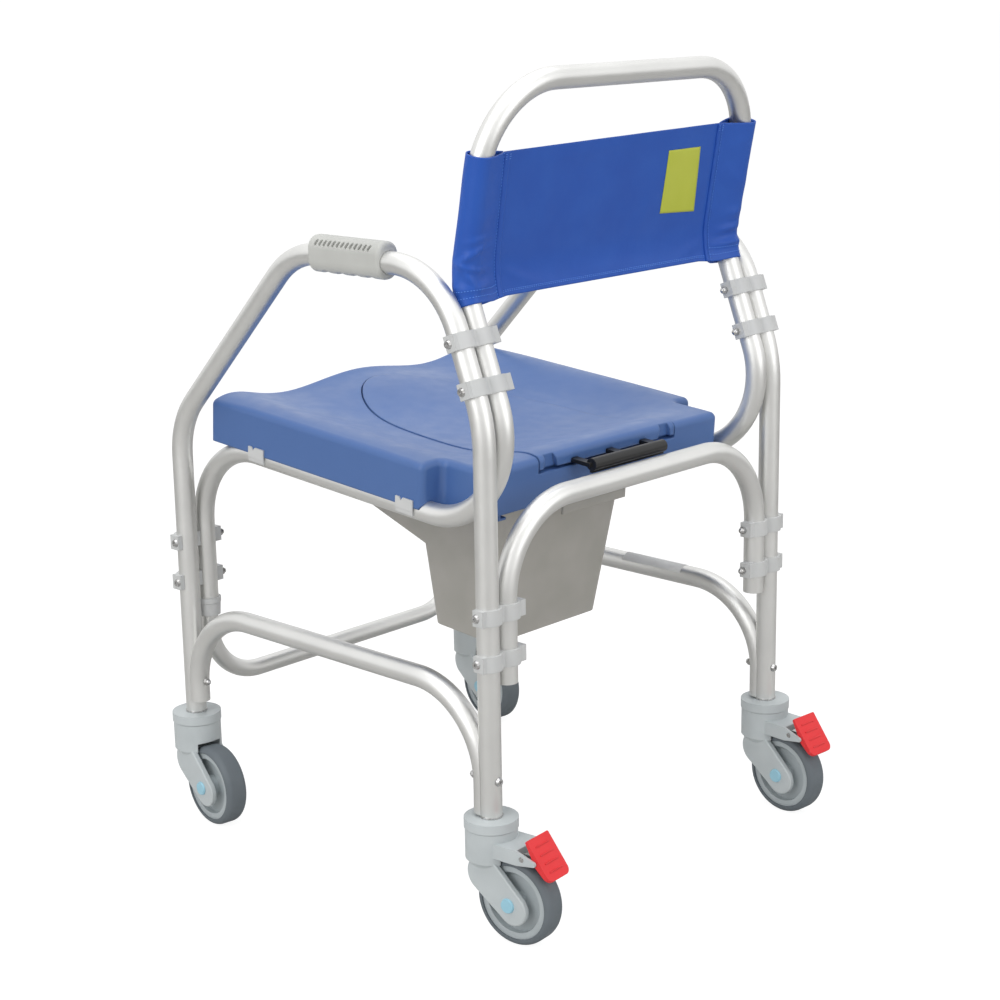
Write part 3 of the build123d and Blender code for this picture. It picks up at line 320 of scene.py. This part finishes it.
# === Lid handle ===============================================================================
# Black moulded nylon bar behind the lid, on three arms, with an even soft gloss.
black_nylon = moulded_plastic("black_moulded_nylon", "#0E0E0F", "#171718", 0.36, 0.001, 0.002, 0.00008)
dress(black_nylon, "lid_handle")

# === Bucket ===================================================================================
# Grey polypropylene tub, moulded with a smooth wall and a flange that slides in the runners.
bucket_polypropylene = moulded_plastic(
    "bucket_polypropylene", "#AEACA5", "#B7B4AE", 0.4, 0.002, 0.003, 0.00006
)
dress(bucket_polypropylene, "bucket")

# === Castors ==================================================================================
# Moulded nylon forks and discs, moulded wheel centres, soft grey rubber tyres and snap-in blue
# axle caps. The rubber is duller than the plastics.
castor_nylon = moulded_plastic("castor_nylon", "#C6CDCF", "#D0D7D9", 0.42, 0.0015, 0.0018, 0.00006)
rim_nylon = moulded_plastic("rim_nylon", "#B8C0C3", "#C1C9CC", 0.4, 0.0012, 0.0018, 0.00006)
tyre_rubber = moulded_plastic("grey_tyre_rubber", "#697177", "#727A80", 0.62, 0.001, 0.0016, 0.00008)
cap_plastic = moulded_plastic("blue_cap_plastic", "#A2D6EA", "#AEDDEF", 0.38, 0.0008, 0.0015, 0.00004)
for castor in castors:
    dress(castor_nylon, f"castor_disc_{castor}", f"castor_fork_{castor}")
    dress(rim_nylon, f"castor_rim_{castor}")
    dress(tyre_rubber, f"castor_tyre_{castor}")
    dress(cap_plastic, f"axle_caps_{castor}")

# === Brake pedals =============================================================================
# Red moulded pedals with four ribs for the shoe, each over a steel lever.
red_polypropylene = moulded_plastic(
    "red_moulded_polypropylene", "#F02C31", "#F63439", 0.36, 0.0012, 0.0016, 0.00005
)
dress(red_polypropylene, "brake_pedal_rear_left", "brake_pedal_rear_right")

# === Backrest sling ===========================================================================
# One strip of royal-blue coated nylon. Each end is wrapped round a back post and sewn to the
# panel, which stays stretched between them. The sleeves wrinkle where they hang loose.
post_x = 0.222
back_corner = Vector((0.170855, 0.714))  # y and z where the post bends back
post_bend_radius = 0.1
lean_below, lean_above = radians(20.5), radians(11.3)
sling_low, sling_high = -0.0205, 0.1425  # along the post from the bend
cloth = 0.0011
sleeve_out, sleeve_deep = 0.0140, 0.0148  # half sizes of the sleeve round the post
post_radius = 0.0125
sleeve_slack = sleeve_out - post_radius - cloth / 2 - 0.0002  # a fold dips no deeper than this


def back_point(along):
    """Place on the line of the back posts at x = 0, which bends once, and the rearward direction."""
    half_turn = (lean_above + lean_below) / 2
    reach = post_bend_radius * tan(half_turn)
    share = max(-1, min(1, along / reach))
    straight = -lean_below if along < 0 else lean_above
    bow = post_bend_radius * (1 / cos(half_turn) - 1) * (1 - abs(share)) ** 2
    y = back_corner.x + along * sin(straight) + bow
    z = back_corner.y + along * cos(straight)
    lean = -lean_below + half_turn * (share + 1)
    return Vector((0, y, z)), Vector((0, cos(lean), -sin(lean)))


def seam_x(side, rise):
    """Where the sleeve's seam crosses the panel, which was sewn a little askew."""
    return 0.179 + 0.008 * rise if side > 0 else -0.184 + 0.006 * rise


fade_base = 2.718


def ridge(x, rise, place, turn, length, width):
    """Height from 0 to 1 of a soft fold in the cloth, which fades towards both its ends."""
    dx, dz = x - place[0], (rise - place[1]) * (sling_high - sling_low)
    along = dx * cos(turn) + dz * sin(turn)
    across = -dx * sin(turn) + dz * cos(turn)
    return fade_base ** (-((along / length) ** 2) - (across / width) ** 2)


panel_folds = (  # x and rise of the middle, direction, length, width and height of each fold
    ((0.150, 0.14), 0.40, 0.030, 0.006, 0.0012),
    ((0.120, 0.06), 0.15, 0.060, 0.008, 0.0008),
    ((0.060, 0.93), -0.05, 0.080, 0.010, 0.0008),
    ((-0.030, 0.05), 0.05, 0.090, 0.010, 0.0007),
    ((-0.150, 0.10), -0.30, 0.035, 0.007, 0.0010),
    ((0.110, 0.55), 1.2, 0.070, 0.016, 0.0006),
    ((-0.070, 0.50), -1.1, 0.080, 0.018, 0.0006),
)
sleeve_folds = (  # the same, with x measured along the cloth round the post
    ((0.229, 0.37), -0.69, 0.016, 0.0036, 0.0024),
    ((0.226, 0.46), -0.30, 0.012, 0.0036, 0.0013),
    ((0.232, 0.27), 0.25, 0.015, 0.0036, 0.0023),
    ((0.229, 0.18), 1.00, 0.014, 0.0036, 0.0022),
    ((0.237, 0.31), -1.20, 0.014, 0.0040, 0.0013),
    ((0.238, 0.12), 0.20, 0.018, 0.0050, 0.0013),
    ((0.214, 0.30), 0.90, 0.014, 0.0045, 0.0011),
    ((0.205, 0.14), -0.20, 0.020, 0.0050, 0.0012),
    ((0.205, 0.62), -0.30, 0.020, 0.0080, 0.0009),
    ((-0.205, 0.24), -0.25, 0.020, 0.0050, 0.0024),
    ((-0.209, 0.13), -0.10, 0.020, 0.0045, 0.0022),
    ((-0.212, 0.36), -0.30, 0.018, 0.0060, 0.0014),
    ((-0.232, 0.21), 0.00, 0.010, 0.0040, -0.0030),
    ((-0.233, 0.13), 0.00, 0.010, 0.0045, 0.0014),
    ((-0.206, 0.62), 0.40, 0.025, 0.0090, 0.0010),
    ((-0.200, 0.85), -0.20, 0.020, 0.0080, 0.0009),
)


def sleeve_lift(reach, rise):
    """How far the loose cloth of a sleeve stands out from its smooth shape."""
    return sum(height * ridge(reach, rise, *fold) for *fold, height in sleeve_folds)


def panel_depth(x, rise):
    """How far the panel stands behind the line of the posts."""
    span = max(0.0, 1 - (x / 0.180) ** 2)
    depth = 0.0016 - 0.003 * span * (rise - 0.5) ** 2
    depth += sum(height * ridge(x, rise, *fold) for *fold, height in panel_folds)
    return depth + 0.0007 * noise.noise((x * 14, rise * 2.2, 4.0)) * span


def sleeve_point(side, angle, rise):
    """X and depth on the sleeve; the angle runs from 0 at its rear to pi at its front."""
    swell = 0.0006 * noise.noise((side * 3 + angle * 0.9, rise * 4.0, side))
    swell += sleeve_lift(side * (post_x + sleeve_out * angle), rise)
    swell = max(swell, -sleeve_slack)  # the cloth lies on the post there
    out, deep = sleeve_out + swell, sleeve_deep + swell
    x = side * (post_x + out * sin(angle))
    return x, deep * cos(angle)


def sleeve_layer(side, seam, angle, rise, steps):
    """The flat run of the sleeve from its round to the seam, as (x, depth), on its rear or front."""
    x0, d0 = sleeve_point(side, angle, rise)
    end = panel_depth(seam, rise) if d0 > 0 else -0.0004
    run = []
    for step in range(1, steps + 1):
        share = step / steps
        x = x0 + (seam - x0) * share
        depth = d0 + (end - d0) * (share ** 1.35)
        if d0 > 0:
            depth += cos(pi / 2 * share) ** 0.5 * sleeve_lift(x, rise)
        run.append((x, depth))
    return run


round_steps, layer_steps, panel_steps, up_steps = 36, 20, 150, 96


def strip_row(rise):
    """The strip across the chair at one height: left loop, panel and right loop."""
    loops = {}
    for side in (1, -1):
        seam = seam_x(side, rise)
        front = sleeve_layer(side, seam, pi, rise, layer_steps)
        rear = sleeve_layer(side, seam, 0, rise, layer_steps)
        turn = [sleeve_point(side, pi * (1 - step / round_steps), rise) for step in range(round_steps + 1)]
        loops[side] = front[::-1] + turn + rear
    left, right = seam_x(1, rise), seam_x(-1, rise)
    middle = [left + (right - left) * step / panel_steps for step in range(1, panel_steps)]
    return loops[1] + [(x, panel_depth(x, rise)) for x in middle] + loops[-1][::-1]


def sling_place(x, depth, rise):
    """Point of the sling in space: its lower edge dips at the sleeves and its panel sags a little."""
    middle = max(0.0, 1 - (x / 0.19) ** 2)
    dip = 0.0040 * (1 - rise) * (1 - middle) * min(1, max(0, (abs(x) - 0.165) / 0.03))
    along = sling_low + (sling_high - sling_low) * rise - dip - 0.0040 * x / post_x * rise
    place, rearward = back_point(along)
    return place + Vector((x, 0, 0)) + rearward * depth


rows = [strip_row(level / up_steps) for level in range(up_steps + 1)]
strip_columns = len(rows[0])
sling_mesh = bpy.data.meshes.new("backrest_cloth")
sling_mesh.from_pydata(
    [sling_place(x, depth, level / up_steps) for level, row in enumerate(rows) for x, depth in row],
    [],
    [
        (a, a + strip_columns, a + strip_columns + 1, a + 1)
        for level in range(up_steps)
        for a in range(level * strip_columns, (level + 1) * strip_columns - 1)
    ],
)
sling_mesh.polygons.foreach_set("use_smooth", [True] * len(sling_mesh.polygons))
backrest_cloth = bpy.data.objects.new("backrest_cloth", sling_mesh)
scene.collection.objects.link(backrest_cloth)
cloth_points = [vertex.co.copy() for vertex in sling_mesh.vertices]
cloth_normals = [vertex.normal.copy() for vertex in sling_mesh.vertices]
thicken = backrest_cloth.modifiers.new("cloth_thickness", "SOLIDIFY")
thicken.thickness, thicken.offset = cloth, 0

# coated nylon: a thin glossy skin over a plain weave; threads are 0.4 mm, drawn at 1.4 mm
coated_nylon = new_material("coated_royal_blue_nylon")
tree = coated_nylon.node_tree
where = add_node(tree, "ShaderNodeTexCoord")
threads = [
    add_node(
        tree,
        "ShaderNodeTexWave",
        {"Vector": where.outputs["Object"], "Scale": 220, "Distortion": 0.5},
        bands_direction=way,
    )
    for way in ("X", "Z")
]
weave = add_node(
    tree, "ShaderNodeMath", {0: threads[0].outputs[1], 1: threads[1].outputs[1]}, operation="ADD"
)
crumple = add_node(
    tree, "ShaderNodeTexNoise", {"Vector": where.outputs["Object"], "Scale": 60, "Detail": 4.0}
)
crumpled = add_node(
    tree, "ShaderNodeBump", {"Height": crumple.outputs[0], "Distance": 0.0008, "Strength": 0.35}
)
woven = add_node(
    tree,
    "ShaderNodeBump",
    {"Height": weave.outputs[0], "Distance": 0.00006, "Strength": 0.35, "Normal": crumpled.outputs[0]},
)
fabric = add_node(
    tree,
    "ShaderNodeBsdfPrincipled",
    {
        "Base Color": blended(tree, mottled(tree, 0.05, 0, 1, 3.0), "#2A5ABA", "#2E60C0"),
        "Roughness": mottled(tree, 0.015, 0.40, 0.48, 3.0),
        "IOR": 1.46,
        "Specular IOR Level": 0.35,
        "Normal": woven.outputs[0],
    },
)
add_node(tree, "ShaderNodeOutputMaterial", {"Surface": fabric.outputs[0]})
sling_mesh.materials.append(coated_nylon)


def sheet_along(name, lines, material):
    """A strip of faces through rows of points, as a new object without thickness."""
    mesh = bpy.data.meshes.new(name)
    points = [place for line in lines for place in line]
    across = len(lines[0])
    mesh.from_pydata(
        points,
        [],
        [
            (a, a + 1, a + across + 1, a + across)
            for row in range(len(lines) - 1)
            for a in range(row * across, (row + 1) * across - 1)
        ],
    )
    mesh.materials.append(material)
    mesh.polygons.foreach_set("use_smooth", [True] * len(mesh.polygons))
    made = bpy.data.objects.new(name, mesh)
    scene.collection.objects.link(made)
    return made


def give_thickness(piece, name, thickness, offset):
    """Close a strip into a thin solid: an offset of 0 grows it both ways, and 1 to one side."""
    solid = piece.modifiers.new(name, "SOLIDIFY")
    solid.thickness, solid.offset = thickness, offset


# the folded edge of each sleeve, sewn down as a raised strip beside the seam
fold_width, fold_height = 0.0078, 0.0026
fold_cloth, fold_steps = 0.0007, 8
seam_folds = []
for side, side_name in ((1, "left"), (-1, "right")):
    lines = []
    for level in range(up_steps + 1):
        rise = level / up_steps
        line = []
        for step in range(fold_steps + 1):
            share = step / fold_steps
            x = seam_x(side, rise) - side * fold_width * (share - 0.15)
            crown = fold_height * (1 - (2 * share - 1) ** 6) * (0.55 + 0.45 * share)
            wave = 0.0004 * noise.noise((rise * 9, side, 2.0))
            lifted = panel_depth(x, rise) + cloth / 2 + crown - 0.0002 + wave * crown / fold_height
            line.append(sling_place(x, lifted, rise))
        lines.append(line)
    strip = sheet_along(f"seam_fold_{side_name}", lines, coated_nylon)
    give_thickness(strip, "fold_thickness", fold_cloth, 0)
    seam_folds.append(strip)

# lime vinyl patch, heat-pressed on the panel and left blank; its film is smooth and a little dull
lime_vinyl = moulded_plastic("lime_vinyl_film", "#C3CC44", "#CAD24E", 0.5, 0.0003, 0.004, 0.00008)
patch_film, patch_lift, patch_rows, patch_columns = 0.0003, 0.00035, 24, 20
patch_corners = ((-0.0875, 0.1185), (-0.1450, 0.1180), (-0.1523, 0.0419), (-0.0886, 0.0456))
lines = []
for down in range(patch_rows + 1):
    v = down / patch_rows
    line = []
    for over in range(patch_columns + 1):
        u = over / patch_columns
        top = Vector(patch_corners[0]).lerp(Vector(patch_corners[1]), u)
        low = Vector(patch_corners[3]).lerp(Vector(patch_corners[2]), u)
        x, along = top.lerp(low, v)
        rise = (along - sling_low) / (sling_high - sling_low)
        line.append(sling_place(x, panel_depth(x, rise) + cloth / 2 + patch_lift, rise))
    lines.append(line)
vinyl_patch = sheet_along("vinyl_patch", lines, lime_vinyl)
give_thickness(vinyl_patch, "film_thickness", patch_film, 0)

# seams and hems: lockstitch in thread a little lighter than the cloth
stitch_tree = bpy.data.node_groups.new("stitch_row", "GeometryNodeTree")
for name, kind, way in (
    ("Seam line", "NodeSocketGeometry", "INPUT"),
    ("Stitch pitch", "NodeSocketFloat", "INPUT"),
    ("Stitch length", "NodeSocketFloat", "INPUT"),
    ("Thread thickness", "NodeSocketFloat", "INPUT"),
    ("Thread", "NodeSocketMaterial", "INPUT"),
    ("Stitches", "NodeSocketGeometry", "OUTPUT"),
):
    stitch_tree.interface.new_socket(name, in_out=way, socket_type=kind)
sizes = add_node(stitch_tree, "NodeGroupInput")
line = add_node(stitch_tree, "GeometryNodeMeshToCurve", {"Mesh": sizes.outputs["Seam line"]})
even = add_node(
    stitch_tree,
    "GeometryNodeResampleCurve",
    {"Curve": line.outputs[0], "Length": sizes.outputs["Stitch pitch"]},
    mode="LENGTH",
)
way = add_node(stitch_tree, "GeometryNodeInputTangent")
turned = add_node(stitch_tree, "FunctionNodeAlignRotationToVector", {"Vector": way.outputs[0]}, axis="Z")
bead = add_node(stitch_tree, "GeometryNodeMeshUVSphere", {"Segments": 6, "Rings": 4, "Radius": 0.5})
shape = add_node(
    stitch_tree,
    "ShaderNodeCombineXYZ",
    {
        "X": sizes.outputs["Thread thickness"],
        "Y": sizes.outputs["Thread thickness"],
        "Z": sizes.outputs["Stitch length"],
    },
)
laid = add_node(
    stitch_tree,
    "GeometryNodeInstanceOnPoints",
    {
        "Points": even.outputs[0],
        "Instance": bead.outputs[0],
        "Rotation": turned.outputs[0],
        "Scale": shape.outputs[0],
    },
)
real = add_node(stitch_tree, "GeometryNodeRealizeInstances", {"Geometry": laid.outputs[0]})
painted = add_node(
    stitch_tree,
    "GeometryNodeSetMaterial",
    {"Geometry": real.outputs[0], "Material": sizes.outputs["Thread"]},
)
add_node(stitch_tree, "NodeGroupOutput", {"Stitches": painted.outputs[0]})

sewing_thread = moulded_plastic("polyester_sewing_thread", "#5F96F0", "#6AA0F4", 0.6, 0.0002, 0.001, 0.00002)


def sew(name, lines, pitch, length, thickness):
    """Rows of stitches along lines of points, as one mesh."""
    mesh = bpy.data.meshes.new(name)
    points, edges = [], []
    for line in lines:
        edges += [(len(points) + i, len(points) + i + 1) for i in range(len(line) - 1)]
        points += line
    mesh.from_pydata(points, edges, [])
    row = bpy.data.objects.new(name, mesh)
    scene.collection.objects.link(row)
    stitches = row.modifiers.new("stitches", "NODES")
    stitches.node_group = stitch_tree
    values = {
        "Stitch pitch": pitch,
        "Stitch length": length,
        "Thread thickness": thickness,
        "Thread": sewing_thread,
    }
    for item in stitch_tree.interface.items_tree:
        if item.in_out == "INPUT" and item.name in values:
            stitches[item.identifier] = values[item.name]
    sewn = bpy.data.meshes.new_from_object(row.evaluated_get(bpy.context.evaluated_depsgraph_get()))
    row.modifiers.clear()
    row.data = sewn
    return row


def on_cloth(level, column, lift):
    """Point on the cloth's face, lifted along its normal."""
    index = level * strip_columns + column
    return cloth_points[index] + cloth_normals[index] * lift


stitch_pitch = 0.0034
sleeve_hem_levels, panel_hem_levels = (5, 10), (3, 4)
stitch_outboard, tack_width, tack_steps = 0.0018, 0.006, 4
lift = cloth / 2 + 0.0001
loop_columns = 2 * layer_steps + round_steps + 1
hem_lines = []
for sign in (1, -1):
    for level in sleeve_hem_levels:  # two rows on each sleeve
        for start in (0, strip_columns - loop_columns):
            columns = range(start, start + loop_columns)
            hem_lines.append([on_cloth(level, column, sign * lift) for column in columns])
    for level in panel_hem_levels:  # two close rows on the panel
        columns = range(loop_columns, strip_columns - loop_columns)
        hem_lines.append([on_cloth(level, column, sign * lift) for column in columns])
hem_stitches = sew("hem_stitches", hem_lines, stitch_pitch, 0.0022, 0.0009)
seam_lines = []
for side in (1, -1):
    line = []
    for level in range(1, up_steps):
        rise = level / up_steps
        x = seam_x(side, rise) + side * stitch_outboard
        rear_depth = sleeve_layer(side, seam_x(side, rise), 0, rise, layer_steps)[-2][1]
        line.append(sling_place(x, rear_depth + cloth / 2 + 0.0001, rise))
    seam_lines.append(line)
    for rise in (0.955, 0.97, 0.985):  # bar tack at the top of the seam
        tack = [
            seam_x(side, rise) - side * tack_width * step / tack_steps for step in range(tack_steps + 1)
        ]
        seam_lines.append(
            [sling_place(x, panel_depth(x, rise) + cloth / 2 + fold_height + 0.0005, rise) for x in tack]
        )
seam_stitches = sew("seam_stitches", seam_lines, stitch_pitch, 0.0024, 0.0008)

for piece in (backrest_cloth, *seam_folds, vinyl_patch, hem_stitches, seam_stitches):
    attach(piece, "frame")
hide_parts("backrest_sling")

# === Label on the right rail ==================================================================
# White polyester film, 96 x 22 mm, stuck along the upper side of the rail; it is left blank.
label_mesh_lines = []
label_start, label_end = -0.001, 0.095
label_low, label_high = radians(22), radians(123)
label_radius = 0.01265
label_steps = 16
rail_x, rail_z = -0.25025, 0.2749
for step in range(label_steps + 1):
    turn = label_low + (label_high - label_low) * step / label_steps
    label_mesh_lines.append(
        [
            Vector((rail_x + label_radius * cos(turn), y, rail_z + label_radius * sin(turn)))
            for y in (label_start, label_end)
        ]
    )
white_film = moulded_plastic("white_polyester_film", "#F4F5F5", "#F8F9F9", 0.4, 0.0002, 0.004, 0.00002)
rail_label = sheet_along("rail_label", label_mesh_lines, white_film)
give_thickness(rail_label, "film_thickness", 0.00015, 1)
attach(rail_label, "frame")
